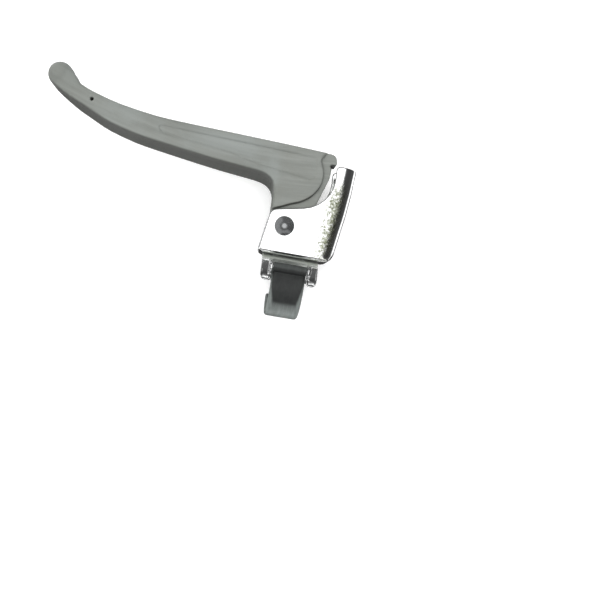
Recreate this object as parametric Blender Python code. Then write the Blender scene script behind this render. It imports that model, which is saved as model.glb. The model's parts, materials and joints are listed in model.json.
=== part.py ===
"""Bicycle brake lever for a flat bar: a pressed steel bracket on a hinged band clamp, with a
plastic-gripped steel lever that turns on one riveted pivot.

Lengths in this file are in millimetres; mesh_object scales them to metres. The origin is the centre
of the handlebar bore. +X runs along the bar towards its middle, +Y from the bar to the bracket and
+Z along the pivot rivet.
"""

import math

import bmesh
import bpy
from mathutils import Matrix, Vector

MM = 0.001
GAP = 0.3  # between pieces that touch on the real lever

# Handlebar clamp
BAR_RADIUS = 11.1  # 22.2 mm handlebar
SADDLE_SHEET = 1.2
SADDLE_HALF_WIDTH = 11.5
SADDLE_FRONT_REACH = math.radians(95)  # how far the sheet wraps round the bar, from +Y
SADDLE_BACK_REACH = math.radians(72)
NOTCH_HALF_WIDTH = 7.2
NOTCH_TOP = 10.3
LEG_END = 0.7
BACK_HALF_WIDTH = 9.6
STRAP_RADIUS = 11.3
STRAP_SHEET = 1.4
STRAP_HALF_WIDTH = 6.9
STRAP_EDGE = 1.3  # rounding of the band's outer edges
LUG_SHEET = 1.2
HINGE_Y, HINGE_Z = 6.6, 12.3
HINGE_PIN_RADIUS = 0.8
KNUCKLE_RADIUS = 1.9
SCREW_Z = -16.0
SCREW_RADIUS = 2.0
THREAD_ENGAGED = 3.5
HEAD_TOP, HEAD_HEIGHT, HEAD_FLATS = -5.4, 1.8, 7.0
WASHER_RADIUS, WASHER_SHEET = 4.0, 0.6
NUT_Y = 4.9
NUT_LUG_X = 5.6  # inner face of each lug that holds the barrel nut
NUT_RADIUS = 3.2
TRUNNION_RADIUS = 1.6
TAB_TOP, TAB_BOTTOM, TAB_END = -3.0, -4.4, -21.0

# Bracket
SHEET = 1.2
HALF_DEPTH = 7.5
BASE_INNER = BAR_RADIUS + SADDLE_SHEET + GAP
BASE_BOTTOM = 12.2
BASE_BEND = 1.6
SPINE_BEND = 3.4
SPINE_LINE = [(17.0, 12.2), (18.7, 24.3), (20.0, 33.0), (20.9, 41.8), (21.5, 52.1)]
CABLE_HOLE_Y = 47.4
CABLE_HOLE_RADIUS = 2.6
BASE_RIVET_X = 5.6
BASE_RIVET_RADIUS = 1.5

# Lever
PIVOT = Vector((-4.8, 24.0, 0.0))
RIVET_RADIUS = 2.0
DOME_RADIUS, DOME_RISE = 4.0, 2.0
BUSH_RADIUS = 3.0
GRIP_HALF_DEPTH = 6.4
GRIP_TIP_HALF_DEPTH = 4.6
GRIP_TAPER_FROM, GRIP_TAPER_TO = -12.0, -97.0
GRIP_EDGE = 1.3
GRIP_DRAFT = 0.18  # how much the finger side leans towards the back, per millimetre of depth
PANEL_DEPTH = 0.35
MOULD_PIN, MOULD_PIN_RADIUS = (-90.0, 61.7, 0), 0.75
HUB_HALF_DEPTH = 4.9
CORE_HALF_SHEET = 1.2
BALL = Vector((-104.7, 70.4, 0.0))
BALL_RADIUS = 5.0

UPPER_EDGE = [(8.0, 57.3), (-9.2, 57.9), (-29.0, 58.5), (-43.8, 58.9), (-54.7, 59.3), (-63.6, 59.8),
              (-78.0, 61.9), (-87.6, 64.3), (-93.1, 66.2), (-97.3, 68.5), (-101.4, 72.6)]
LOWER_EDGE = [(-107.9, 67.0), (-104.7, 63.8), (-100.2, 61.0), (-96.0, 58.9), (-91.0, 56.6),
              (-86.0, 54.3), (-81.0, 52.3), (-70.8, 49.6), (-60.8, 48.0), (-40.3, 45.3), (-30.0, 44.2),
              (-20.0, 43.3)]
HUB_FILLET = [(-15.4, 42.3), (-12.6, 40.2), (-11.3, 36.9), (-11.1, 32.8)]
STEP_LINE = [(-10.8, 30.4), (-7.5, 31.8), (-3.7, 33.6), (0.2, 35.2), (3.7, 37.7), (6.0, 40.6), (7.4, 43.7),
             (7.8, 46.8), (7.4, 49.7), (5.9, 53.4)]

STEEL = {"chrome": ((0.80, 0.81, 0.80), 0.16), "zinc": ((0.62, 0.63, 0.64), 0.32),
         "dark": ((0.34, 0.35, 0.36), 0.28)}


# ---- tools -------------------------------------------------------------------------------------

def clear_scene():
    for obj in list(bpy.data.objects):
        bpy.data.objects.remove(obj)


def material(name, colour, roughness, metallic):
    made = bpy.data.materials.new(name)
    made.use_nodes = True
    shader = made.node_tree.nodes["Principled BSDF"]
    shader.inputs["Base Color"].default_value = (*colour, 1.0)
    shader.inputs["Roughness"].default_value = roughness
    shader.inputs["Metallic"].default_value = metallic
    return made


def steel(name, look):
    colour, roughness = STEEL[look]
    return material(name, colour, roughness, 1.0)


def mesh_object(name, shape, origin=(0.0, 0.0, 0.0), look=None):
    """A bmesh in millimetres made into an object in metres, with its own origin."""
    bmesh.ops.remove_doubles(shape, verts=shape.verts, dist=0.001)
    bmesh.ops.recalc_face_normals(shape, faces=shape.faces)
    bmesh.ops.transform(shape, matrix=Matrix.Scale(MM, 4) @ Matrix.Translation(-Vector(origin)),
                        verts=shape.verts)
    mesh = bpy.data.meshes.new(name)
    shape.to_mesh(mesh)
    shape.free()
    mesh.shade_smooth()
    mesh.set_sharp_from_angle(angle=math.radians(35))
    obj = bpy.data.objects.new(name, mesh)
    obj.location = Vector(origin) * MM
    if look:
        mesh.materials.append(look)
    bpy.context.collection.objects.link(obj)
    return obj


def boolean(target, tool, operation):
    """Cuts or joins target by a helper, which stays in the file as a wire that isn't rendered."""
    tool.hide_render = True
    tool.display_type = "WIRE"
    step = target.modifiers.new(operation.lower(), "BOOLEAN")
    step.operation = operation
    step.object = tool
    return target


def cut(target, *tools):
    for tool in tools:
        boolean(target, tool, "DIFFERENCE")
    return target


def join(target, *tools):
    for tool in tools:
        boolean(target, tool, "UNION")
    return target


def rounded(corners, steps=5):
    """The closed outline through (x, y, radius) corners, each rounded with an arc."""
    outline = []
    for index, (x, y, radius) in enumerate(corners):
        here = Vector((x, y))
        if not radius:
            outline.append(here)
            continue
        back = (Vector(corners[index - 1][:2]) - here).normalized()
        ahead = (Vector(corners[(index + 1) % len(corners)][:2]) - here).normalized()
        half = back.angle(ahead) / 2
        centre = here + (back + ahead).normalized() * radius / math.sin(half)
        start = here + back * radius / math.tan(half) - centre
        turn = math.copysign(math.pi - 2 * half, ahead.cross(back))
        for step in range(steps + 1):
            outline.append(centre + Matrix.Rotation(turn * step / steps, 2) @ start)
    return outline


def smooth(points, steps=3):
    """A Catmull-Rom curve through the points, ends included."""
    points = [Vector(p) for p in points]
    points = [2 * points[0] - points[1], *points, 2 * points[-1] - points[-2]]
    curve = []
    for a, b, c, d in zip(points, points[1:], points[2:], points[3:]):
        for step in range(steps):
            t = step / steps
            curve.append(0.5 * (2 * b + (c - a) * t + (2 * a - 5 * b + 4 * c - d) * t * t
                                + (3 * b - a - 3 * c + d) * t ** 3))
    return curve + [points[-2]]


def offset(outline, distance):
    """The closed outline moved outwards by distance, for an outline drawn anticlockwise."""
    moved = []
    for index, here in enumerate(outline):
        back = (here - outline[index - 1]).normalized()
        ahead = (outline[(index + 1) % len(outline)] - here).normalized()
        normal = Vector((back.y + ahead.y, -back.x - ahead.x)).normalized()
        moved.append(here + normal * distance / max(normal.dot(Vector((ahead.y, -ahead.x))), 0.5))
    return moved


def circle(x, y, radius, sides=24):
    angles = [2 * math.pi * k / sides for k in range(sides)]
    return [Vector((x + radius * math.cos(a), y + radius * math.sin(a))) for a in angles]


def arc(radius, start, end, steps):
    angles = [start + (end - start) * k / steps for k in range(steps + 1)]
    return [Vector((radius * math.cos(a), radius * math.sin(a))) for a in angles]


def prism_shape(outline, low, high, axis="Z"):
    """An outline extruded along an axis. Its two numbers are (x, y), (y, z) or (z, x)."""
    shape = bmesh.new()
    turns = {"Z": 0, "X": 1, "Y": 2}[axis]
    places = [(a, b, low) for a, b in outline]
    face = shape.faces.new([shape.verts.new(p[-turns:] + p[:-turns]) for p in places])
    made = bmesh.ops.extrude_face_region(shape, geom=[face])["geom"]
    move = Vector((0, 0, 0))
    move["XYZ".index(axis)] = high - low
    bmesh.ops.translate(shape, vec=move, verts=[v for v in made if isinstance(v, bmesh.types.BMVert)])
    return shape


def prism(name, outline, low, high, axis="Z", origin=(0, 0, 0), look=None):
    return mesh_object(name, prism_shape(outline, low, high, axis), origin, look)


def turned(name, profile, centre, axis="Z", sides=32, look=None):
    """A profile of (radius, height) points turned about a line through centre, along an axis."""
    shape = bmesh.new()
    verts = [shape.verts.new((radius, 0, height)) for radius, height in profile]
    edges = [shape.edges.new(pair) for pair in zip(verts, verts[1:])]
    if profile[0][0] > 0:
        edges.append(shape.edges.new((verts[-1], verts[0])))
    bmesh.ops.spin(shape, geom=verts + edges, axis=(0, 0, 1), angle=2 * math.pi, steps=sides)
    turn = {"Z": Matrix(), "X": Matrix.Rotation(math.pi / 2, 4, "Y"),
            "Y": Matrix.Rotation(-math.pi / 2, 4, "X")}[axis]
    bmesh.ops.transform(shape, matrix=Matrix.Translation(centre) @ turn, verts=shape.verts)
    return mesh_object(name, shape, centre, look)


def rod(name, centre, radius, low, high, axis="Z", sides=24):
    """A plain cylinder, used as a cutter."""
    profile = [(0, low), (radius, low), (radius, high), (0, high)]
    return turned(name, profile, centre, axis, sides)


def box(name, low, high):
    outline = [Vector((low[0], low[1])), Vector((high[0], low[1])),
               Vector((high[0], high[1])), Vector((low[0], high[1]))]
    return prism(name, outline, low[2], high[2])


# ---- bracket -----------------------------------------------------------------------------------

def cheek_outline():
    """The side view of bracket and spine, anticlockwise from the lower outer corner."""
    return rounded([
        (-13.9, BASE_BOTTOM, 2.4), (*SPINE_LINE[0], 5.0), *[(x, y, 20.0) for x, y in SPINE_LINE[1:-1]],
        (*SPINE_LINE[-1], 0.8), (12.6, 52.2, 1.6), (13.5, 35.1, 14.0), (-11.1, 30.0, 3.2)], 6)


def spine_x(y):
    """The x of the spine's outer face at a height y."""
    spans = list(zip(SPINE_LINE, SPINE_LINE[1:]))
    for (xa, ya), (xb, yb) in spans:
        if y <= yb or (xb, yb) == SPINE_LINE[-1]:
            return xa + (xb - xa) * (y - ya) / (yb - ya)


def channel(name, inset, bend):
    """A bar with the bracket's bent-sheet section, open ends past the bracket, inset by a wall."""
    half = HALF_DEPTH - inset
    heights = [5.0, *[y for _, y in SPINE_LINE[1:-1]], 60.0]
    corner = [(bend * math.sin(a), bend * math.cos(a)) for a in [math.pi * k / 12 for k in range(7)]]
    shape = bmesh.new()
    rings = []
    for y in heights:
        outer = spine_x(y) - inset
        front = [(outer - bend + dx, half - bend + dz) for dx, dz in corner]
        back = [(x, -z) for x, z in reversed(front)]
        section = [(-30.0, half), *front, *back, (-30.0, -half)]
        rings.append([shape.verts.new((x, y, z)) for x, z in section])
    for low, high in zip(rings, rings[1:]):
        for index in range(len(low)):
            after = (index + 1) % len(low)
            shape.faces.new((low[index], low[after], high[after], high[index]))
    shape.faces.new(rings[0])
    shape.faces.new(rings[-1])
    return mesh_object(name, shape)


def make_bracket():
    """Two cheeks, the spine that joins them and the hollowed base that sits on the saddle."""
    reach = HALF_DEPTH + 1
    body = prism("bracket", cheek_outline(), -reach, reach, look=steel("bracket_chrome", "chrome"))
    end_view = rounded([(BASE_BOTTOM, -HALF_DEPTH, BASE_BEND), (60.0, -HALF_DEPTH, 0), (60.0, HALF_DEPTH, 0),
                        (BASE_BOTTOM, HALF_DEPTH, BASE_BEND)])
    boolean(body, channel("bracket_outside", 0.0, SPINE_BEND), "INTERSECT")
    boolean(body, prism("bracket_end_view", end_view, -30, 30, "X"), "INTERSECT")
    hollow = channel("bracket_inside", SHEET, SPINE_BEND - SHEET)
    spine_foot = (SPINE_LINE[0][0] - SHEET, BASE_BOTTOM + SHEET, 3.8)
    floor = rounded([(-40.0, BASE_BOTTOM + SHEET, 0), spine_foot, (22.5, 40.0, 0), (22.5, 59.0, 0),
                     (-40.0, 59.0, 0)])
    boolean(hollow, prism("bracket_floor", floor, -20, 20), "INTERSECT")
    cut(hollow, rod("base_crown", (0, 0, 0), BASE_INNER + SHEET, -40, 40, "X", 64))
    cut(body, hollow)
    cut(body, rod("bracket_seat", (0, 0, 0), BASE_INNER, -40, 40, "X", 64),
        rod("bracket_pivot_hole", PIVOT, RIVET_RADIUS + GAP, -20, 20))
    for side, x in enumerate((-BASE_RIVET_X, BASE_RIVET_X)):
        cut(body, rod(f"base_rivet_hole_{side}", (x, 0, 0), BASE_RIVET_RADIUS + GAP, 5, 20, "Y"))
    cut(body, rod("cable_hole", (0, CABLE_HOLE_Y, 0), CABLE_HOLE_RADIUS, 15, 30, "X"))
    return body


# ---- handlebar clamp ---------------------------------------------------------------------------

def make_saddle():
    """The cradle under the bracket: two front legs, a back flap, and lugs for the band and its nut."""
    inner, outer = BAR_RADIUS, BAR_RADIUS + SADDLE_SHEET
    ring = (arc(outer, -SADDLE_BACK_REACH, SADDLE_FRONT_REACH, 40)
            + arc(inner, SADDLE_FRONT_REACH, -SADDLE_BACK_REACH, 40))
    wide, notch = SADDLE_HALF_WIDTH, NOTCH_HALF_WIDTH
    saddle = prism("saddle", ring, -wide, wide, "X", look=steel("saddle_chrome", "chrome"))
    legs = rounded([(-wide, LEG_END, 2.0), (-notch, LEG_END, 1.6), (-notch, NOTCH_TOP, 0.8),
                    (notch, NOTCH_TOP, 0.8), (notch, LEG_END, 1.6),
                    (wide, LEG_END, 2.0), (wide, 14.0, 0), (-wide, 14.0, 0)])
    back = box("saddle_back_view", (-BACK_HALF_WIDTH, -5, -30), (BACK_HALF_WIDTH, 20, 1))
    boolean(saddle, join(prism("saddle_front_view", legs, 0, 30), back), "INTERSECT")
    band_lug = rounded([(10.2, 6.2, 0), (7.2, 9.2, 0), (3.4, 11.2, 0), (4.5, 14.4, 2.0), (8.7, 14.4, 2.0)])
    nut_lug = rounded([(10.2, -6.2, 0), (7.2, -9.2, 0), (4.7, -10.7, 0), (2.2, -18.7, 2.2),
                       (7.6, -18.7, 2.2)])
    for side, sign in (("left", -1), ("right", 1)):
        for name, outline, at in (("band_lug", band_lug, notch), ("nut_lug", nut_lug, NUT_LUG_X)):
            low, high = sorted((sign * at, sign * (at + LUG_SHEET)))
            join(saddle, prism(f"{name}_{side}", outline, low, high, "X"))
    cut(saddle, rod("band_pin_hole", (0, HINGE_Y, HINGE_Z), HINGE_PIN_RADIUS + GAP, -20, 20, "X", 20),
        rod("nut_hole", (0, NUT_Y, SCREW_Z), TRUNNION_RADIUS + GAP, -20, 20, "X"))
    hole = BASE_RIVET_RADIUS + GAP
    for side, x in enumerate((-BASE_RIVET_X, BASE_RIVET_X)):
        sink = [(0, 10.0), (3.4, 10.0), (hole, 12.0), (hole, 14.0), (0, 14.0)]
        cut(saddle, turned(f"saddle_countersink_{side}", sink, (x, 0, 0), "Y"))
    return saddle


def make_base_rivets():
    """Countersunk rivets that hold the saddle to the bracket's base."""
    low, high = BAR_RADIUS + 0.25, BASE_INNER + SHEET + GAP
    head = [(2.8, high), (2.7, high + 0.6), (2.0, high + 1.1), (0, high + 1.3)]
    shank = [(0, low), (1.9, low), (BASE_RIVET_RADIUS, low + 0.65), (BASE_RIVET_RADIUS, high), *head]
    look = steel("base_rivet_steel", "zinc")
    for name, x in (("base_rivet_outer", -BASE_RIVET_X), ("base_rivet_inner", BASE_RIVET_X)):
        turned(name, shank, (x, 0, 0), "Y", 20, look)


def make_strap():
    """The band: a rolled knuckle in front, round under the bar, and a tab for the screw behind."""
    pin = (0, HINGE_Y, HINGE_Z)
    middle = STRAP_RADIUS + STRAP_SHEET
    start = math.atan2(HINGE_Z, HINGE_Y) + 0.02
    end = math.pi + math.acos(-TAB_TOP / STRAP_RADIUS)
    back_end = math.pi + math.acos(-TAB_BOTTOM / middle)
    ring = arc(middle, start, back_end, 36) + arc(STRAP_RADIUS, end, start, 36)
    half = STRAP_HALF_WIDTH
    strap = prism("clamp_strap", ring, -half, half, "X", pin, steel("strap_chrome", "chrome"))
    bend = [(middle - STRAP_EDGE * (1 - math.cos(a)), half - STRAP_EDGE * (1 - math.sin(a)))
            for a in [math.pi * k / 8 for k in range(5)]]
    crown = [(0, -half), *[(r, -x) for r, x in reversed(bend)], *bend, (0, half)]
    boolean(strap, turned("strap_crown", crown, (0, 0, 0), "X", 72), "INTERSECT")
    join(strap, rod("knuckle", pin, KNUCKLE_RADIUS, -half, half, "X"))
    tab = rounded([(TAB_END, -5.5, 2.0), (-11.5, -6.6, 0), (-11.5, 6.6, 0), (TAB_END, 5.5, 2.0)])
    join(strap, prism("strap_tab", tab, TAB_BOTTOM, TAB_TOP, "Y"))
    return cut(strap, rod("knuckle_hole", pin, HINGE_PIN_RADIUS + GAP, -20, 20, "X", 20),
               rod("tab_hole", (0, 0, SCREW_Z), SCREW_RADIUS + GAP, -10, 2, "Y"))


def make_strap_pin():
    """The headless pin the band swings on, staked in the saddle's lugs."""
    end = NOTCH_HALF_WIDTH + LUG_SHEET + 0.4
    half = [(HINGE_PIN_RADIUS, end - 0.3), (HINGE_PIN_RADIUS - 0.3, end), (0, end)]
    profile = [(r, -h) for r, h in reversed(half)] + half
    turned("strap_pin", profile, (0, HINGE_Y, HINGE_Z), "X", 20, steel("strap_pin_steel", "zinc"))


def make_barrel_nut():
    """A cross nut whose ends turn in the saddle's back lugs."""
    shoulder, end = NUT_LUG_X - GAP, NUT_LUG_X + LUG_SHEET + 0.5
    half = [(NUT_RADIUS, shoulder - 0.4), (NUT_RADIUS - 0.4, shoulder), (TRUNNION_RADIUS, shoulder),
            (TRUNNION_RADIUS, end), (0, end)]
    profile = [(r, -h) for r, h in reversed(half)] + half
    nut = turned("barrel_nut", profile, (0, NUT_Y, SCREW_Z), "X", 28, steel("barrel_nut_steel", "zinc"))
    return cut(nut, rod("nut_thread_hole", (0, 0, SCREW_Z), SCREW_RADIUS + GAP, -20, 20, "Y"))


def make_clamp_screw():
    """The hexagon-head screw that draws the band's tab towards the nut."""
    low, high = HEAD_TOP - HEAD_HEIGHT, HEAD_TOP
    tip = NUT_Y - NUT_RADIUS + THREAD_ENGAGED
    hexagon = circle(SCREW_Z, 0, HEAD_FLATS / math.sqrt(3), 6)
    axis = (0, 0, SCREW_Z)
    screw = prism("clamp_screw", hexagon, low, high, "Y", axis, steel("clamp_screw_steel", "zinc"))
    shank = [(0, low + 0.9), (SCREW_RADIUS, low + 0.9), (SCREW_RADIUS, tip - 0.6), (1.5, tip), (0, tip)]
    join(screw, turned("screw_shank", shank, axis, "Y"))
    return cut(screw, box("screw_slot", (-6, low - 1, SCREW_Z - 0.5), (6, low + 0.7, SCREW_Z + 0.5)))


def make_screw_washer():
    low = HEAD_TOP + 0.2
    hole, high = SCREW_RADIUS + GAP, low + WASHER_SHEET
    washer = [(hole, low), (WASHER_RADIUS, low), (WASHER_RADIUS, high), (hole, high)]
    turned("screw_washer", washer, (0, 0, SCREW_Z), "Y", 28, steel("screw_washer_steel", "zinc"))


# ---- lever -------------------------------------------------------------------------------------

def grip_outline():
    """The side view of the thick part of the grip, anticlockwise from the end of the step line."""
    return smooth(STEP_LINE) + smooth(UPPER_EDGE, 2) + smooth(LOWER_EDGE + HUB_FILLET, 2)


def hub_outline():
    """The side view of the thinner hub, from the pivot up to the hook that takes the cable nipple."""
    return rounded([(-11.1, 17.4, 6.2), (1.9, 17.4, 6.2), (6.9, 35.3, 12), (10.7, 47.1, 10),
                    (10.8, 51.2, 0), (10.1, 51.2, 0.6), (10.1, 52.9, 0.6), (12.9, 52.9, 0.5),
                    (12.0, 57.1, 2.4), (7.7, 57.2, 0),
                    (2.0, 54.5, 0), (-8.8, 42.0, 0), (-11.1, 33.0, 4)])


def core_outline():
    """The side view of the steel core inside the grip."""
    return rounded([(-9.8, 19.2, 4.5), (0.2, 19.2, 4.5), (5.5, 36.0, 10), (9.6, 47.6, 8), (9.6, 53.4, 1.2),
                    (-30.0, 55.0, 0), (-62.0, 56.4, 1.6), (-62.0, 52.4, 1.6), (-30.0, 49.2, 0),
                    (-9.8, 46.0, 8), (-9.6, 30.0, 4)])


def taper(x):
    """Half the grip's depth at x: full by the hub, less towards the ball."""
    share = min(max((GRIP_TAPER_FROM - x) / (GRIP_TAPER_FROM - GRIP_TAPER_TO), 0.0), 1.0)
    end_share = max((GRIP_TAPER_TO - x) / (GRIP_TAPER_TO - BALL.x), 0.0)
    return GRIP_HALF_DEPTH + (GRIP_TIP_HALF_DEPTH - GRIP_HALF_DEPTH) * share - 0.8 * end_share


def finger_side(point):
    """1 on the grip's lower side, fading to 0 at the hub's step, at the ball and on the upper side."""
    x, y, _ = point
    middle = 51.0 + 0.0022 * (x + 20) ** 2
    if y > middle:
        return 0.0
    return min(max((y - 32.0) / 8.0, 0.0), 1.0) * min(max((x + 106.0) / 12.0, 0.0), 1.0) * (x < -9.0)


def make_grip():
    """The moulded grip: thick blade, ball end, and the thin hub that turns between the cheeks."""
    shape = prism_shape(grip_outline(), -GRIP_HALF_DEPTH, GRIP_HALF_DEPTH)
    rim = [e for e in shape.edges if abs(e.verts[0].co.z - e.verts[1].co.z) < 0.01
           and min(e.verts[0].co.x, e.verts[1].co.x) < 6.0 and not on_step_line(e)]
    bmesh.ops.bevel(shape, geom=rim, offset=GRIP_EDGE, segments=3, profile=0.5, affect="EDGES")
    for x in (GRIP_TAPER_FROM, GRIP_TAPER_TO):
        bmesh.ops.bisect_plane(shape, geom=shape.verts[:] + shape.edges[:] + shape.faces[:],
                               plane_co=(x, 0, 0), plane_no=(1, 0, 0))
    for vert in shape.verts:
        vert.co.z *= taper(vert.co.x) / GRIP_HALF_DEPTH
        vert.co.y += GRIP_DRAFT * vert.co.z * finger_side(vert.co)
    grip = mesh_object("grip", shape, PIVOT, material("grip_plastic", (0.33, 0.35, 0.33), 0.5, 0.0))
    ball = bmesh.new()
    bmesh.ops.create_uvsphere(ball, u_segments=24, v_segments=14, radius=BALL_RADIUS)
    bmesh.ops.translate(ball, vec=BALL, verts=ball.verts)
    join(grip, mesh_object("ball_end", ball),
         prism("grip_hub", hub_outline(), -HUB_HALF_DEPTH, HUB_HALF_DEPTH))
    half = CORE_HALF_SHEET + GAP
    cut(grip, prism("core_pocket", offset(core_outline(), GAP), -half, half),
        box("core_pocket_mouth", (8.0, 38.0, -half), (16.0, 51.0, half)),
        rod("grip_bush_hole", PIVOT, BUSH_RADIUS + GAP, -20, 20),
        rod("mould_pin_hole", MOULD_PIN, MOULD_PIN_RADIUS, -20, 20, "Z", 12))
    for side, sign in (("front", 1), ("back", -1)):
        cut(grip, panel_cutter(f"panel_{side}", sign))
    return grip


def panel_cutter(name, sign):
    """The shallow hollow in one side of the grip, parallel to its tapering face."""
    outline = rounded([(-62.4, 55.7, 1.0), (-59.9, 53.0, 2.0), (-32.0, 50.1, 20.0), (-23.0, 47.9, 20.0),
                       (3.2, 44.5, 1.0), (5.2, 47.1, 3.0), (4.2, 54.3, 1.0), (-60.8, 56.3, 1.0)])
    outside = GRIP_HALF_DEPTH + 2.0
    recess = prism_shape(outline, 0.0, outside)
    for vert in recess.verts:
        height = outside if vert.co.z > 1.0 else taper(vert.co.x) - PANEL_DEPTH
        vert.co.z = sign * height
    return mesh_object(name, recess)


def on_step_line(edge):
    """True for a rim edge on the sharp step between grip and hub."""
    near = [min((Vector(point) - vert.co.xy).length for point in smooth(STEP_LINE)) for vert in edge.verts]
    return max(near) < 0.01


def make_core():
    """The steel strip inside the grip, with the eye for the pivot bush."""
    core = prism("lever_core", core_outline(), -CORE_HALF_SHEET, CORE_HALF_SHEET, "Z", PIVOT,
                 steel("lever_core_steel", "zinc"))
    return cut(core, rod("core_bush_hole", PIVOT, BUSH_RADIUS + GAP, -5, 5))


def make_pivot():
    """The bush in the lever, a thin washer each side of it, and the rivet with its tail washer."""
    hole, end = RIVET_RADIUS + GAP, HUB_HALF_DEPTH + 0.1
    bush = [(hole, -end), (BUSH_RADIUS, -end), (BUSH_RADIUS, end), (hole, end)]
    turned("pivot_bush", bush, PIVOT, look=steel("pivot_bush_steel", "zinc"))
    low, high = HUB_HALF_DEPTH + 0.3, HALF_DEPTH - SHEET - GAP
    nylon = material("pivot_washer_nylon", (0.75, 0.74, 0.70), 0.45, 0.0)
    for name, sign in (("pivot_washer_front", 1), ("pivot_washer_back", -1)):
        ring = [(hole, sign * low), (5.4, sign * low), (5.4, sign * high), (hole, sign * high)]
        turned(name, ring, PIVOT, look=nylon)
    seat = HALF_DEPTH + 0.25
    under = -seat - 0.85
    angles = [math.pi * k / 14 for k in range(8)]
    dome = [(DOME_RADIUS * math.cos(a), seat + 0.4 + DOME_RISE * math.sin(a)) for a in angles]
    tail = [(0, under - 1.8), (2.4, under - 1.8), (3.1, under - 1.2), (3.1, under - GAP),
            (RIVET_RADIUS, under - GAP)]
    rivet = [*tail, (RIVET_RADIUS, seat), (DOME_RADIUS, seat), *dome[:-1], (0, dome[-1][1])]
    turned("pivot_rivet", rivet, PIVOT, look=steel("pivot_rivet_steel", "dark"))
    washer = [(hole, under), (4.2, under), (4.2, -seat), (hole, -seat)]
    turned("rivet_tail_washer", washer, PIVOT, look=steel("rivet_tail_washer_steel", "zinc"))


def main():
    clear_scene()
    make_bracket()
    make_saddle()
    make_base_rivets()
    make_strap()
    make_strap_pin()
    make_barrel_nut()
    make_clamp_screw()
    make_screw_washer()
    make_grip()
    make_core()
    make_pivot()


main()
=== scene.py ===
"""Looks of the bicycle brake lever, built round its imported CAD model."""
import json
import math

import bmesh
import bpy
from mathutils import Matrix, Vector

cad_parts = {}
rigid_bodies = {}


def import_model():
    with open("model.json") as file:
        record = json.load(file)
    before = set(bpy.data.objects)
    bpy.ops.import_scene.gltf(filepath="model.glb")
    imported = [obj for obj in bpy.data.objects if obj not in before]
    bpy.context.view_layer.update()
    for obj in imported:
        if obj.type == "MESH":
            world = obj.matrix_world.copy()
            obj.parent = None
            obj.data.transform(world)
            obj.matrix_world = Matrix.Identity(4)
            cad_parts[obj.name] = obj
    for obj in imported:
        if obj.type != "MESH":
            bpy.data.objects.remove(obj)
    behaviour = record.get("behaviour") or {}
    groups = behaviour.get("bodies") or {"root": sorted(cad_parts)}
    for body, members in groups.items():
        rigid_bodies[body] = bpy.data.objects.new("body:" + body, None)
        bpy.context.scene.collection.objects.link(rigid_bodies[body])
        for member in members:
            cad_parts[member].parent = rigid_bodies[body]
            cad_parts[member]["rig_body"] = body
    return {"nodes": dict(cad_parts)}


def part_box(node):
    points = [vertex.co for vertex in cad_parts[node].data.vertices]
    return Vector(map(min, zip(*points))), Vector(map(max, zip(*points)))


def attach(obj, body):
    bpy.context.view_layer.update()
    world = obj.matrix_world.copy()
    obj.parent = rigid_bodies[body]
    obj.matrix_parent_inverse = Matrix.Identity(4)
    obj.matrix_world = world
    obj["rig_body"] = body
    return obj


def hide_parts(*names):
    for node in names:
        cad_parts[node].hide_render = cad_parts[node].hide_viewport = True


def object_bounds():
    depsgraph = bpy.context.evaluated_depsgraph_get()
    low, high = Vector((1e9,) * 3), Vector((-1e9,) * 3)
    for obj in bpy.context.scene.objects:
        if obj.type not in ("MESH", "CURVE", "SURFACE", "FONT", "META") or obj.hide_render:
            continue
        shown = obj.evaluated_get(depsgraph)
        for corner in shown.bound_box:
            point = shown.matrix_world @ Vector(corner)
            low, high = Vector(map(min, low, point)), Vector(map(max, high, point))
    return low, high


MM = 0.001

# The camera's place in mm, the direction it looks in, its roll in radians and its lens in mm.
CAMERA_PLACE = (-28.0, -30.0, 400.0)
CAMERA_AIM = (0.08771513, 0.06419501, -0.99407498)
CAMERA_ROLL = 0.163595435
CAMERA_LENS = 58.292

# The studio that the plating reflects, as (position, grey level) stops. Height runs from 0 straight
# down to 1 straight up, across from -X to +X, and along from -Y to +Y.
WALL_STOPS = [(0.0, 0.03), (0.13, 0.04), (0.165, 0.75), (0.31, 0.75), (0.36, 0.05), (0.70, 0.030),
              (0.90, 0.035), (0.938, 0.10), (0.953, 0.45), (0.968, 1.0), (1.0, 1.0)]
SCREEN_HEIGHT_STOPS = [(0.47, 0.0), (0.50, 1.0), (0.80, 0.9), (0.86, 0.0)]
SCREEN_ACROSS_STOPS = [(0.28, 1.0), (0.38, 0.0)]
SCREEN_ALONG_STOPS = [(0.20, 1.0), (0.30, 0.0), (0.72, 0.0), (0.82, 0.10)]
SCREEN_LEVEL = 0.30
BLUE_TINGE = 1.01
ROOM_STRENGTH = 1.9
BACKDROP = (0.88, 0.885, 0.88, 1.0)

# The one lamp and the floor, in metres.
KEY_PLACE, KEY_TARGET = (-0.25, 0.35, 1.3), (-0.03, 0.03, 0.0)
KEY_SIZE, KEY_POWER = 3.4, 60.0
FLOOR_REACH, FLOOR_DROP, FLOOR_GLOW = 2.5, 0.0001, 0.22

# Places on the CAD that the looks and the skins share, in mm.
SPINE_FACE = [(17.0, 12.2), (18.7, 24.3), (20.0, 33.0), (20.9, 41.8), (21.5, 52.1)]
SPINE_LEAN = 0.115
CAD_BEND, BEND = 3.4, 6.0
BEND_FOOT, BEND_FULL = 12.9, 14.5
HALF_DEPTH = 7.5
BORE, SADDLE_OUTSIDE = 11.1, 12.3
BALL = Vector((-104.7, 70.4, 0.0))
NECK = Vector((-103.0, 69.0, 0.0))
SHOULDER = (-98.4, 70.2)
SHOULDER_AWAY = Vector((0.75, 0.66, 0.0))
SHANK_HOLE = 2.3

MIX_SHARE, MIX_A, MIX_B, MIX_RESULT = 0, 6, 7, 2   # a Mix node's sockets for colours
FLAT = 0.5                                         # the pointiness of a flat face

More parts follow.
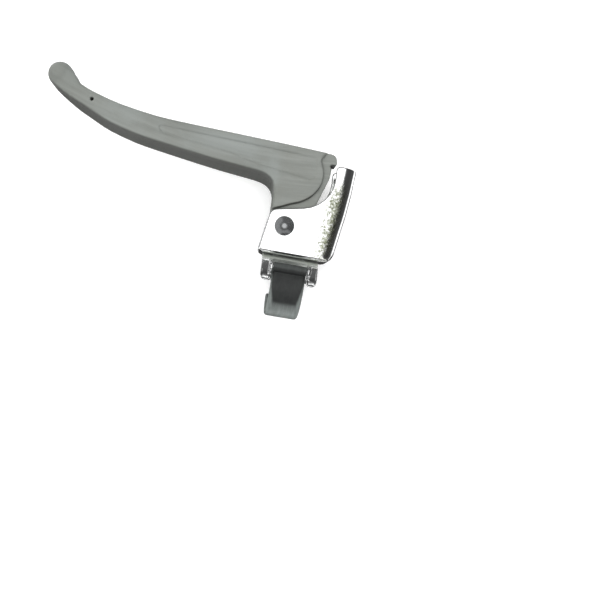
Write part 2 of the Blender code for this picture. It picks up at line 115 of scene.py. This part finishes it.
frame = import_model()
cad_low, cad_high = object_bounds()
nodes = frame["nodes"]


def ease(value, low, high):
    """0 below low, 1 above high, smooth between."""
    t = min(max((value - low) / (high - low), 0.0), 1.0)
    return t * t * (3 - 2 * t)


def scaled(colour, by):
    return tuple(c * by for c in colour)


# ---- node trees --------------------------------------------------------------------------------

class Nodes:
    """Short ways to add, set and link the nodes of one tree."""

    def __init__(self, tree):
        self.tree = tree

    def node(self, kind, **inputs):
        """A new node with its inputs fed by name, an underscore standing for a space."""
        made = self.tree.nodes.new(kind)
        for key, value in inputs.items():
            self.feed(made.inputs[key.replace("_", " ")], value)
        return made

    def feed(self, socket, value):
        if isinstance(value, bpy.types.NodeSocket):
            self.tree.links.new(value, socket)
        else:
            socket.default_value = value

    def ramp(self, value, stops):
        """The colour at value on a ramp of (position, colour) stops."""
        made = self.node("ShaderNodeValToRGB", Fac=value)
        elements = made.color_ramp.elements
        while len(elements) > 1:
            elements.remove(elements[-1])
        elements[0].position = stops[0][0]
        elements[0].color = (*stops[0][1], 1.0)
        for position, colour in stops[1:]:
            elements.new(position).color = (*colour, 1.0)
        return made.outputs["Color"]

    def mix(self, share, a, b, how="MIX"):
        """Colour a blended with colour b by share."""
        made = self.node("ShaderNodeMix")
        made.data_type = "RGBA"
        made.blend_type = how
        for index, value in ((MIX_SHARE, share), (MIX_A, a), (MIX_B, b)):
            self.feed(made.inputs[index], (*value, 1.0) if isinstance(value, tuple) else value)
        return made.outputs[MIX_RESULT]


class Look(Nodes):
    """A procedural material round one Principled shader, in object coordinates of metres. Noise
    and cell scales count features per metre."""

    def __init__(self, name):
        self.material = bpy.data.materials.new(name)
        self.material.use_nodes = True
        super().__init__(self.material.node_tree)
        self.shader = next(n for n in self.tree.nodes if n.type == "BSDF_PRINCIPLED")
        source = self.node("ShaderNodeTexCoord").outputs
        self.place, self.normal = source["Object"], source["Normal"]
        self.x, self.y, self.z = self.node("ShaderNodeSeparateXYZ", Vector=self.place).outputs
        self.pointiness = self.node("ShaderNodeNewGeometry").outputs["Pointiness"]

    def set(self, name, value):
        """Sets or links one input of the shader."""
        if isinstance(value, tuple):
            value = (*value, 1.0)
        self.feed(self.shader.inputs[name], value)

    def stretch(self, scale):
        """Object coordinates scaled by (x, y, z)."""
        return self.node("ShaderNodeMapping", Vector=self.place, Scale=scale).outputs["Vector"]

    def noise(self, scale, detail=2.0, rough=0.5, warp=0.0, along=None):
        made = self.node("ShaderNodeTexNoise", Scale=scale, Detail=detail, Roughness=rough,
                         Distortion=warp, Vector=along or self.place)
        return made.outputs["Fac"]

    def cells(self, scale):
        """The distance to the nearest point of a random scatter."""
        made = self.node("ShaderNodeTexVoronoi", Scale=scale, Vector=self.place)
        return made.outputs["Distance"]

    def remap(self, value, low, high, start=0.0, end=1.0):
        """value from start..end mapped smoothly to low..high, clamped."""
        made = self.node("ShaderNodeMapRange", Value=value, From_Min=start, From_Max=end,
                         To_Min=low, To_Max=high)
        made.interpolation_type = "SMOOTHSTEP"
        return made.outputs["Result"]

    def math(self, operation, a, b=0.0):
        made = self.node("ShaderNodeMath")
        made.operation = operation
        self.feed(made.inputs[0], a)
        self.feed(made.inputs[1], b)
        return made.outputs["Value"]

    def add(self, a, b):
        return self.math("ADD", a, b)

    def subtract(self, a, b):
        return self.math("SUBTRACT", a, b)

    def multiply(self, a, b):
        return self.math("MULTIPLY", a, b)

    def larger(self, a, b):
        return self.math("MAXIMUM", a, b)

    def bump(self, *layers):
        """Stacks (height, depth in metres, strength) layers of relief into the shader's normal."""
        normal = None
        for height, depth, strength in layers:
            made = self.node("ShaderNodeBump", Height=height, Distance=depth, Strength=strength)
            if normal:
                self.feed(made.inputs["Normal"], normal)
            normal = made.outputs["Normal"]
        self.set("Normal", normal)

    def within(self, value, low, high, soft):
        """1 where value lies between low and high, with soft edges."""
        rise = self.remap(value, 0.0, 1.0, low - soft, low + soft)
        fall = self.remap(value, 1.0, 0.0, high - soft, high + soft)
        return self.multiply(rise, fall)

    def wander(self, scale, detail, reach):
        """A slow noise of plus or minus half of reach, which makes a border uneven."""
        return self.multiply(self.subtract(self.noise(scale, detail=detail), 0.5), reach)

    def edges(self, soft=0.04):
        """1 on outward edges, 0 on flat faces."""
        return self.remap(self.pointiness, 0.0, 1.0, FLAT + soft * 0.4, FLAT + soft * 2)

    def hollows(self, soft=0.04):
        """1 in inward corners, 0 on flat faces."""
        return self.remap(self.pointiness, 1.0, 0.0, FLAT - soft * 2, FLAT - soft * 0.3)


# ---- camera, light and floor -------------------------------------------------------------------

def aim_matrix(aim, roll):
    """The rotation that looks along aim with the picture turned by roll about it."""
    ahead = Vector(aim).normalized()
    right = ahead.cross(Vector((0, 1, 0))).normalized()
    up = right.cross(ahead)
    turned_right = right * math.cos(roll) + up * math.sin(roll)
    turned_up = up * math.cos(roll) - right * math.sin(roll)
    return Matrix((turned_right, turned_up, -ahead)).transposed().to_4x4()


def make_camera():
    data = bpy.data.cameras.new("camera")
    data.sensor_width = 36.0
    data.lens = CAMERA_LENS
    data.clip_start, data.clip_end = 0.01, 20.0
    data.dof.use_dof = False
    camera = bpy.data.objects.new("camera", data)
    camera.matrix_world = (Matrix.Translation(Vector(CAMERA_PLACE) * MM)
                           @ aim_matrix(CAMERA_AIM, CAMERA_ROLL))
    bpy.context.scene.collection.objects.link(camera)
    bpy.context.scene.camera = camera


def make_key_light():
    """A large soft lamp above the object, which the plating doesn't reflect."""
    data = bpy.data.lights.new("key", "AREA")
    data.shape = "RECTANGLE"
    data.size = data.size_y = KEY_SIZE
    data.energy = KEY_POWER
    light = bpy.data.objects.new("key", data)
    light.visible_glossy = False
    light.location = KEY_PLACE
    light.rotation_mode = "QUATERNION"
    light.rotation_quaternion = (Vector(KEY_TARGET) - Vector(KEY_PLACE)).to_track_quat("-Z", "Y")
    bpy.context.scene.collection.objects.link(light)


def make_world():
    """A white ceiling over dark walls with pale side screens. The camera sees only a plain pale
    backdrop in their place."""
    world = bpy.data.worlds.new("studio")
    bpy.context.scene.world = world
    world.use_nodes = True
    studio = Nodes(world.node_tree)
    studio.tree.nodes.clear()

    def grey(value, stops):
        return studio.ramp(value, [(at, (v, v, v * BLUE_TINGE)) for at, v in stops])

    direction = studio.node("ShaderNodeTexCoord").outputs["Generated"]
    parts = studio.node("ShaderNodeSeparateXYZ", Vector=direction).outputs
    across, along, height = (
        studio.node("ShaderNodeMapRange", Value=part, From_Min=-1.0).outputs["Result"]
        for part in parts)
    sides = studio.mix(1.0, grey(across, SCREEN_ACROSS_STOPS), grey(along, SCREEN_ALONG_STOPS),
                       "LIGHTEN")
    screens = studio.mix(1.0, grey(height, SCREEN_HEIGHT_STOPS), sides, "MULTIPLY")
    lit = studio.mix(SCREEN_LEVEL, grey(height, WALL_STOPS), screens, "ADD")
    room = studio.node("ShaderNodeBackground", Color=lit, Strength=ROOM_STRENGTH)
    backdrop = studio.node("ShaderNodeBackground", Color=BACKDROP, Strength=1.0)
    seen_directly = studio.node("ShaderNodeLightPath").outputs["Is Camera Ray"]
    choice = studio.node("ShaderNodeMixShader")
    for socket, source in zip(choice.inputs, (seen_directly, room.outputs["Background"],
                                              backdrop.outputs["Background"])):
        studio.feed(socket, source)
    studio.node("ShaderNodeOutputWorld", Surface=choice.outputs["Shader"])


def make_floor():
    reach, level = FLOOR_REACH, cad_low.z - FLOOR_DROP
    corners = [(-reach, -reach, level), (reach, -reach, level), (reach, reach, level),
               (-reach, reach, level)]
    mesh = bpy.data.meshes.new("floor")
    mesh.from_pydata(corners, [], [(0, 1, 2, 3)])
    floor = bpy.data.objects.new("floor", mesh)
    bpy.context.scene.collection.objects.link(floor)
    paper = Look("pale_floor")
    grain = paper.noise(900.0, detail=3.0)
    paper.set("Base Color", paper.ramp(grain, [(0.0, (0.90, 0.905, 0.90)),
                                               (1.0, (0.94, 0.94, 0.935))]))
    paper.set("Roughness", paper.remap(grain, 0.75, 0.9))
    paper.set("Emission Color", (1.0, 1.0, 1.0))
    paper.set("Emission Strength", FLOOR_GLOW)
    mesh.materials.append(paper.material)
    floor.visible_glossy = False


# ---- materials ---------------------------------------------------------------------------------

def plated(name, tint):
    """The start of a bright plating: its look, its colour of cloudy patches, pin spots and
    darkening in the hollows, and the cloud."""
    look = Look(name)
    cloud = look.noise(140.0, detail=4.0, rough=0.6, warp=0.6)
    spots = look.remap(look.cells(620.0), 1.0, 0.0, 0.05, 0.16)
    few = look.remap(look.noise(210.0), 0.0, 1.0, 0.56, 0.66)
    pitted = look.multiply(spots, few)
    colour = look.ramp(cloud, [(0.25, scaled(tint, 0.90)), (0.5, tint), (0.8, scaled(tint, 1.06))])
    colour = look.mix(look.multiply(pitted, 0.6), colour, (0.20, 0.20, 0.17))
    colour = look.mix(look.multiply(look.hollows(), 0.65), colour, (0.10, 0.10, 0.085))
    return look, colour, cloud


def bracket_look():
    """The bracket's plating, which turns pebbly and yellowish beside the bend of the spine."""
    look, colour, _ = plated("bracket_plating", (0.86, 0.87, 0.86))
    lean = look.subtract(look.x, look.multiply(look.y, SPINE_LEAN))
    beside = look.within(lean, 6.6 * MM, 13.5 * MM, 1.6 * MM)
    upright = look.within(look.y, 13.0 * MM, 44.0 * MM, 5.0 * MM)
    zone = look.multiply(beside, upright)
    pebble = look.noise(1500.0, detail=5.0, rough=0.65, warp=0.4)
    thicker = look.remap(lean, -0.05, 0.09, 7.0 * MM, 13.0 * MM)
    blotch = look.remap(look.add(look.noise(900.0, detail=6.0, rough=0.7), thicker),
                        0.0, 1.0, 0.42, 0.56)
    stained = look.multiply(zone, blotch)
    stain = look.ramp(pebble, [(0.34, (0.10, 0.11, 0.075)), (0.46, (0.26, 0.28, 0.19)),
                               (0.54, (0.42, 0.44, 0.34)), (0.66, (0.85, 0.87, 0.80))])
    colour = look.mix(stained, colour, stain)
    # Painted shade: a dark rim along the outward edges of the sheet.
    colour = look.mix(look.multiply(look.edges(0.05), 0.55), colour, (0.16, 0.15, 0.16))
    look.set("Base Color", colour)
    look.set("Metallic", 1.0)
    look.set("Roughness", look.add(look.remap(look.noise(300.0), 0.06, 0.14),
                                   look.multiply(stained, 0.22)))
    pebbly = look.add(look.multiply(zone, 0.8), 0.03)
    look.bump((look.noise(120.0, detail=3.0), 0.3 * MM, 0.25), (pebble, 0.18 * MM, pebbly))
    return look.material


def saddle_look():
    """The saddle's plating, dull and greenish along its crown under the bracket's base."""
    look, colour, cloud = plated("saddle_plating", (0.84, 0.85, 0.84))
    height = look.add(look.y, look.wander(500.0, 4.0, 1.2 * MM))
    crown = look.remap(height, 0.0, 1.0, 9.2 * MM, 10.4 * MM)
    look.set("Base Color", look.mix(look.multiply(crown, 0.8), colour, (0.40, 0.43, 0.38)))
    look.set("Metallic", look.subtract(1.0, look.multiply(crown, 0.5)))
    look.set("Roughness", look.add(look.remap(look.noise(140.0, detail=4.0), 0.06, 0.17),
                                   look.multiply(crown, 0.25)))
    look.bump((cloud, 0.49 * MM, 0.35), (look.noise(1300.0, detail=3.0), 0.056 * MM, 0.5))
    return look.material


def strap_look():
    """The band: dull plating with a painted dark reflection over its middle, lighter along its
    sides, underneath and on its roll.
    """
    look = Look("strap_plating")
    wander = look.wander(180.0, 3.0, 1.0 * MM)
    height = look.add(look.y, wander)
    below = look.larger(look.subtract(6.0 * MM, look.y), 0.0)
    narrowing = look.multiply(look.multiply(below, below), 0.011 / MM)
    aside = look.add(look.add(look.math("ABSOLUTE", look.x), narrowing), wander)
    sides = look.remap(aside, 0.0, 1.0, 6.3 * MM, 7.5 * MM)
    under = look.remap(height, 1.0, 0.0, -10.2 * MM, -6.6 * MM)
    roll = look.remap(height, 0.0, 0.10, 5.6 * MM, 6.8 * MM)
    # The mask below is 1 where the painted dark reflection over the middle gives way to lighter
    # plating.
    clear_of_painted_reflection = look.larger(look.larger(sides, under), roll)
    streak = look.noise(260.0, detail=5.0, rough=0.65, along=look.stretch((4.0, 0.6, 0.6)))
    blot = look.noise(420.0, detail=4.0, rough=0.6)
    # The dark colour below is a painted dark reflection, not the plating's own colour.
    dark = look.ramp(look.multiply(look.add(streak, blot), 0.5),
                     [(0.35, (0.020, 0.021, 0.021)), (0.65, (0.029, 0.031, 0.030))])
    light = look.ramp(streak, [(0.3, (0.19, 0.21, 0.20)), (0.7, (0.28, 0.305, 0.295))])
    look.set("Base Color", look.mix(clear_of_painted_reflection, dark, light))
    look.set("Metallic", look.remap(clear_of_painted_reflection, 0.0, 0.55))
    look.set("Specular IOR Level", 0.12)
    look.set("Roughness", look.remap(streak, 0.38, 0.52))
    look.bump((streak, 0.04 * MM, 0.3), (look.noise(1500.0), 0.02 * MM, 0.4))
    return look.material


def steel_look(name, light, dark, rough, turning="Z", metal=1.0):
    """Turned or drawn steel: rings of tool marks, darkening in the hollows and painted highlights
    on the edges.
    """
    look = Look(name)
    scale = {"X": (1.0, 0.12, 0.12), "Y": (0.12, 1.0, 0.12), "Z": (0.12, 0.12, 1.0)}[turning]
    marks = look.noise(4200.0, along=look.stretch(scale))
    cloud = look.noise(420.0, detail=4.0, rough=0.6)
    colour = look.mix(cloud, dark, light)
    colour = look.mix(look.multiply(look.hollows(), 0.7), colour, scaled(dark, 0.3))
    # Painted highlight along the outward edges.
    colour = look.mix(look.multiply(look.edges(), 0.5), colour, (0.82, 0.83, 0.82))
    look.set("Base Color", colour)
    look.set("Metallic", metal)
    uneven = look.multiply(look.add(cloud, marks), 0.5)
    look.set("Roughness", look.remap(uneven, rough * 0.65, rough * 1.5, 0.3, 0.7))
    look.bump((marks, 0.02 * MM, 0.5), (cloud, 0.08 * MM, 0.4))
    return look.material


def grip_look():
    """Satin grey moulded plastic with flow streaks along the bowed blade, scuffs, lighter outward
    edges, a painted sheen, painted shade on the finger side and in the hollows, and darker at the
    ball."""
    look = Look("grip_plastic_worn_painted_shade_and_sheen")
    back = look.add(look.x, 20.0 * MM)
    bow = look.multiply(look.multiply(back, back), 0.0022 / MM)
    above_bow = look.subtract(look.y, bow)
    lane = look.node("ShaderNodeCombineXYZ", X=look.multiply(look.x, 0.07), Y=above_bow, Z=look.z)
    flow = look.noise(420.0, detail=6.0, rough=0.62, warp=0.3, along=lane.outputs["Vector"])
    patch = look.noise(60.0, detail=5.0, rough=0.6, warp=0.4)
    grit = look.noise(2600.0, detail=3.0, rough=0.6)
    # Painted sheen: a lighter patch on the face of the blade.
    bright = look.multiply(look.within(look.x, -46 * MM, -20 * MM, 9 * MM),
                           look.within(look.y, 50 * MM, 58 * MM, 3 * MM))
    at_ball = look.remap(look.x, 0.35, 0.0, -104 * MM, -82 * MM)
    # Painted shade on the down-facing finger side, below the bow.
    facing = look.node("ShaderNodeSeparateXYZ", Vector=look.normal).outputs["Y"]
    finger = look.multiply(look.remap(facing, 1.0, 0.0, -0.62, -0.12),
                           look.remap(above_bow, 1.0, 0.0, 48 * MM, 51 * MM))
    speck = look.remap(look.cells(900.0), 1.0, 0.0, 0.06, 0.14)
    colour = look.ramp(flow, [(0.28, (0.138, 0.147, 0.134)), (0.5, (0.168, 0.178, 0.163)),
                              (0.72, (0.200, 0.212, 0.196))])
    for share, other in (
            (look.remap(patch, 0.0, 0.55, 0.48, 0.74), (0.210, 0.229, 0.218)),
            (look.remap(patch, 0.45, 0.0, 0.28, 0.50), (0.140, 0.146, 0.127)),
            (look.multiply(bright, 0.45), (0.235, 0.257, 0.249)),
            (at_ball, (0.122, 0.130, 0.115)),
            (look.multiply(finger, 0.80), (0.050, 0.051, 0.046)),
            # Painted shade in the hollows, such as along the step.
            (look.multiply(look.hollows(0.05), 0.28), (0.05, 0.053, 0.048)),
            (look.multiply(look.edges(0.05), 0.15), (0.24, 0.26, 0.25)),
            (look.multiply(speck, 0.35), (0.075, 0.078, 0.068))):
        colour = look.mix(share, colour, other)
    look.set("Base Color", colour)
    uneven = look.add(look.multiply(patch, 0.6), look.multiply(grit, 0.4))
    look.set("Roughness", look.remap(uneven, 0.40, 0.62, 0.3, 0.7))
    look.set("Specular IOR Level", 0.4)
    look.bump((flow, 0.1 * MM, 0.40), (grit, 0.03 * MM, 0.55), (patch, 0.6 * MM, 0.15))
    return look.material


def nylon_look():
    """Cloudy natural nylon."""
    look = Look("washer_nylon")
    cloud = look.noise(700.0, detail=4.0)
    look.set("Base Color", look.ramp(cloud, [(0.3, (0.60, 0.58, 0.52)), (0.7, (0.78, 0.77, 0.72))]))
    look.set("Roughness", look.remap(cloud, 0.38, 0.55))
    look.set("Subsurface Weight", 0.08)
    look.set("Subsurface Scale", 0.6 * MM)
    look.bump((look.noise(3000.0), 0.02 * MM, 0.4))
    return look.material


# ---- ways to make a piece ----------------------------------------------------------------------

def place_piece(name, mesh, node, look):
    """Adds a mesh as the visible stand-in of one CAD node, on that node's body."""
    piece = bpy.data.objects.new(name, mesh)
    bpy.context.scene.collection.objects.link(piece)
    mesh.materials.clear()
    mesh.materials.append(look)
    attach(piece, nodes[node]["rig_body"])
    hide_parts(node)


def remeshed(name, mesh, voxel):
    """A closed mesh of small even faces round another, which is used up."""
    rough = bpy.data.objects.new(name + "_rough", mesh)
    bpy.context.scene.collection.objects.link(rough)
    remesh = rough.modifiers.new("skin", "REMESH")
    remesh.mode = "VOXEL"
    remesh.voxel_size = voxel * MM
    bpy.context.view_layer.update()
    graph = bpy.context.evaluated_depsgraph_get()
    fine = bpy.data.meshes.new_from_object(rough.evaluated_get(graph))
    bpy.data.objects.remove(rough)
    return fine


def soften(work, verts, passes):
    for _ in range(passes):
        bmesh.ops.smooth_vert(work, verts=verts, factor=0.5, use_axis_x=True, use_axis_y=True,
                              use_axis_z=True)


def skinned(name, node, look, voxel, passes, form=None, melt=None):
    """A fine closed skin over a CAD solid, with the small edge rounding that pressing or moulding
    leaves. form moves each point, in mm, before the rounding. melt is the centre, the reach and
    the number of passes of extra rounding."""
    mesh = nodes[node].data.copy()
    work = bmesh.new()
    work.from_mesh(mesh)
    bmesh.ops.remove_doubles(work, verts=work.verts, dist=0.002 * MM)
    work.to_mesh(mesh)
    work.free()
    fine = remeshed(name, mesh, voxel)
    work = bmesh.new()
    work.from_mesh(fine)
    if form:
        for vert in work.verts:
            vert.co = form(vert.co / MM) * MM
    soften(work, work.verts, passes)
    if melt:
        centre, reach, extra = melt
        for share in (1.0, 0.8, 0.6):
            near = [v for v in work.verts if (v.co / MM - centre).length < reach * share]
            soften(work, near, extra)
    for face in work.faces:
        face.smooth = True
    work.to_mesh(fine)
    work.free()
    place_piece(name, fine, node, look)


def lathe(name, node, look, profile, centre, axis, sides=64, radius_at=None):
    """A piece turned about an axis from (radius, height) points in mm. Its profile starts and ends
    on the axis, or comes back to its start. radius_at may change a point's radius by its turn."""
    shape = bmesh.new()
    loops = []
    for radius, height in profile:
        loop = []
        for k in range(sides):
            turn = 2 * math.pi * k / sides
            r = radius_at(radius, height, turn) if radius_at else radius
            loop.append(shape.verts.new((r * math.cos(turn), r * math.sin(turn), height)))
        loops.append(loop)
    for low, high in zip(loops, loops[1:]):
        for k in range(sides):
            after = (k + 1) % sides
            shape.faces.new((low[k], low[after], high[after], high[k]))
    bmesh.ops.remove_doubles(shape, verts=shape.verts, dist=1e-4)
    to_axis = {"Z": Matrix(), "X": Matrix.Rotation(math.pi / 2, 4, "Y"),
               "Y": Matrix.Rotation(-math.pi / 2, 4, "X")}[axis]
    place = Matrix.Scale(MM, 4) @ Matrix.Translation(centre) @ to_axis
    bmesh.ops.transform(shape, matrix=place, verts=shape.verts)
    bmesh.ops.recalc_face_normals(shape, faces=shape.faces)
    mesh = bpy.data.meshes.new(name)
    shape.to_mesh(mesh)
    shape.free()
    mesh.shade_smooth()
    mesh.set_sharp_from_angle(angle=math.radians(38))
    place_piece(name, mesh, node, look)


def measured(node, axis):
    """A node's centre, its half length along axis and its radius, in mm."""
    low, high = (Vector(corner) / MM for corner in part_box(node))
    along = "XYZ".index(axis)
    half = (high[along] - low[along]) / 2
    return (low + high) / 2, half, (high - low)[(along + 1) % 3] / 2


def ring(name, node, look, axis, hole, edge=0.15):
    """A washer or sleeve with broken edges."""
    centre, half, radius = measured(node, axis)
    flat = half - edge
    profile = [(hole, -flat), (hole + edge, -half), (radius - edge, -half), (radius, -flat),
               (radius, flat), (radius - edge, half), (hole + edge, half), (hole, flat),
               (hole, -flat)]
    lathe(name, node, look, profile, centre, axis)


# ---- pieces ------------------------------------------------------------------------------------

def make_rivet(look):
    """The pivot rivet: upset tail, shank and polished dome with a flat rim."""
    centre, half, radius = measured("pivot_rivet", "Z")
    head, rim_edge, rise, steps, fullness = 2.4, 0.12, 2.0, 18, 2.1
    rim = half - head
    tail = [(0, 0), (2.3, 0), (2.75, 0.15), (3.05, 0.45), (3.1, 0.7), (3.1, 1.35), (2.95, 1.5),
            (2.0, 1.5)]
    dome = [(radius * (1 - k / steps), half - rise * (1 - k / steps) ** fullness)
            for k in range(steps)]
    profile = [*((r, h - half) for r, h in tail), (2.0, rim), (radius - rim_edge, rim),
               (radius, rim + rim_edge), *dome, (0, half)]
    lathe("rivet_turned", "pivot_rivet", look, profile, centre, "Z", 96)


def make_screw(look):
    """The clamp screw: chamfered hexagon head and a rolled thread down to a pointed end."""
    centre, half, _ = measured("clamp_screw", "Y")
    low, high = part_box("clamp_screw")
    flats = min((high.z - low.z) / MM / 2, 3.5)
    head, pitch, depth, shank, step, sixth = 1.8, 0.8, 0.28, 2.0, 0.05, math.pi / 3
    neck = head - half
    cap = [(0, 0), (3.0, 0), (3.45, 0.12), (3.85, 0.36), (4.3, 0.6), (4.3, head - 0.15),
           (3.9, head), (shank, head)]
    thread = [(shank, neck + 0.001 + k * step) for k in range(int((2 * half - head) / step))]
    profile = [*((r, h - half) for r, h in cap), *thread, (1.2, half - 0.05), (0, half)]

    def radius_at(radius, height, turn):
        if radius == shank and height > neck:
            phase = (height / pitch - turn / (2 * math.pi)) % 1.0
            cut = depth * (1 - abs(2 * phase - 1)) * ease(height, neck + 0.6, neck + 1.2)
            return radius - cut - 0.5 * ease(height, half - 0.7, half - 0.05)
        side = (turn + sixth / 2) % sixth - sixth / 2
        return min(radius, flats / math.cos(side))

    lathe("screw_turned", "clamp_screw", look, profile, centre, "Y", 96,
          radius_at)


def spine_face(y):
    """The x of the spine's outer face at height y."""
    for (x0, y0), (x1, y1) in zip(SPINE_FACE, SPINE_FACE[1:]):
        if y <= y1 or (x1, y1) == SPINE_FACE[-1]:
            return x0 + (x1 - x0) * (y - y0) / (y1 - y0)


def bracket_form(point):
    """Draws the two bends beside the spine in from the CAD's radius to the wider one of a pressed
    sheet."""
    x, y, z = point
    u, v = x - (spine_face(y) - BEND), abs(z) - (HALF_DEPTH - BEND)
    if u <= 0 or v <= 0 or y < BEND_FOOT:
        return point
    reach = math.hypot(u, v)
    cosine, sine = u / reach, v / reach
    inset = BEND - CAD_BEND
    if BEND * sine / cosine < inset:
        cad_reach = BEND / cosine
    elif BEND * cosine / sine < inset:
        cad_reach = BEND / sine
    else:
        b = inset * (cosine + sine)
        cad_reach = b + math.sqrt(b * b - 2 * inset ** 2 + CAD_BEND ** 2)
    change = (BEND / cad_reach - 1) * ease(y, BEND_FOOT, BEND_FULL)
    side = 1 if z > 0 else -1
    return Vector((x + u * change, y, z + side * v * change))


def grip_form(point):
    """Fills out the ball and its shoulder, so that the softening after it leaves them full size."""
    away = point - BALL
    point = point + away.normalized() * 0.22 * (1 - ease(away.length, 5.5, 9.0))
    off_shoulder = math.hypot(point.x - SHOULDER[0], point.y - SHOULDER[1])
    return point + SHOULDER_AWAY * 0.75 * (1 - ease(off_shoulder, 1.2, 4.2))


def saddle_form(point):
    """Smooths the sheet to true cylinders and dishes the outer face of each front leg."""
    x, y, z = point
    radius = math.hypot(y, z)
    for true in (BORE, SADDLE_OUTSIDE):
        if abs(radius - true) < 0.06:
            y, z = y * true / radius, z * true / radius
            radius = true
    mid_sheet = (BORE + SADDLE_OUTSIDE) / 2
    if z > 0 and abs(x) > 7.2 and y < 10.0 and radius > mid_sheet:
        leg_middle, leg_half, leg_foot, leg_top = 9.35, 2.15, 0.7, 10.5
        inside = min(leg_half - abs(abs(x) - leg_middle), y - leg_foot, leg_top - y)
        pressed = radius - 0.2 * ease(inside, 0.3, 0.8) * ease(radius, mid_sheet, 12.2)
        y, z = y * pressed / radius, z * pressed / radius
    return Vector((x, y, z))


def make_pieces():
    skinned("bracket_skin", "bracket", bracket_look(), 0.19, 9, bracket_form)
    skinned("saddle_skin", "saddle", saddle_look(), 0.14, 8, saddle_form)
    skinned("band_skin", "clamp_strap", strap_look(), 0.2, 8)
    skinned("grip_skin", "grip", grip_look(), 0.28, 4, grip_form, (NECK, 12.0, 14))
    make_rivet(steel_look("rivet_steel", (0.36, 0.37, 0.37), (0.20, 0.21, 0.21), 0.19, metal=0.84))
    zinc = {axis: steel_look("zinc_" + axis, (0.66, 0.67, 0.66), (0.45, 0.46, 0.45), 0.30, axis)
            for axis in "XYZ"}
    make_screw(zinc["Y"])
    ring("tail_washer_turned", "rivet_tail_washer", zinc["Z"], "Z", SHANK_HOLE)
    ring("screw_washer_turned", "screw_washer", zinc["Y"], "Y", SHANK_HOLE)
    ring("bush_turned", "pivot_bush", zinc["Z"], "Z", SHANK_HOLE, 0.1)
    nylon = nylon_look()
    ring("front_washer_turned", "pivot_washer_front", nylon, "Z", SHANK_HOLE)
    ring("back_washer_turned", "pivot_washer_back", nylon, "Z", SHANK_HOLE)
    skinned("nut_skin", "barrel_nut", zinc["X"], 0.14, 5)
    skinned("pin_skin", "strap_pin", zinc["X"], 0.1, 4)
    core = steel_look("core_steel", (0.50, 0.50, 0.49), (0.36, 0.36, 0.35), 0.42)
    kept = {"base_rivet_outer": zinc["Y"], "base_rivet_inner": zinc["Y"], "lever_core": core}
    for node, look in kept.items():
        nodes[node].data.materials.clear()
        nodes[node].data.materials.append(look)


make_camera()
make_world()
make_floor()
make_key_light()
make_pieces()
bpy.context.scene.view_settings.view_transform = "Standard"
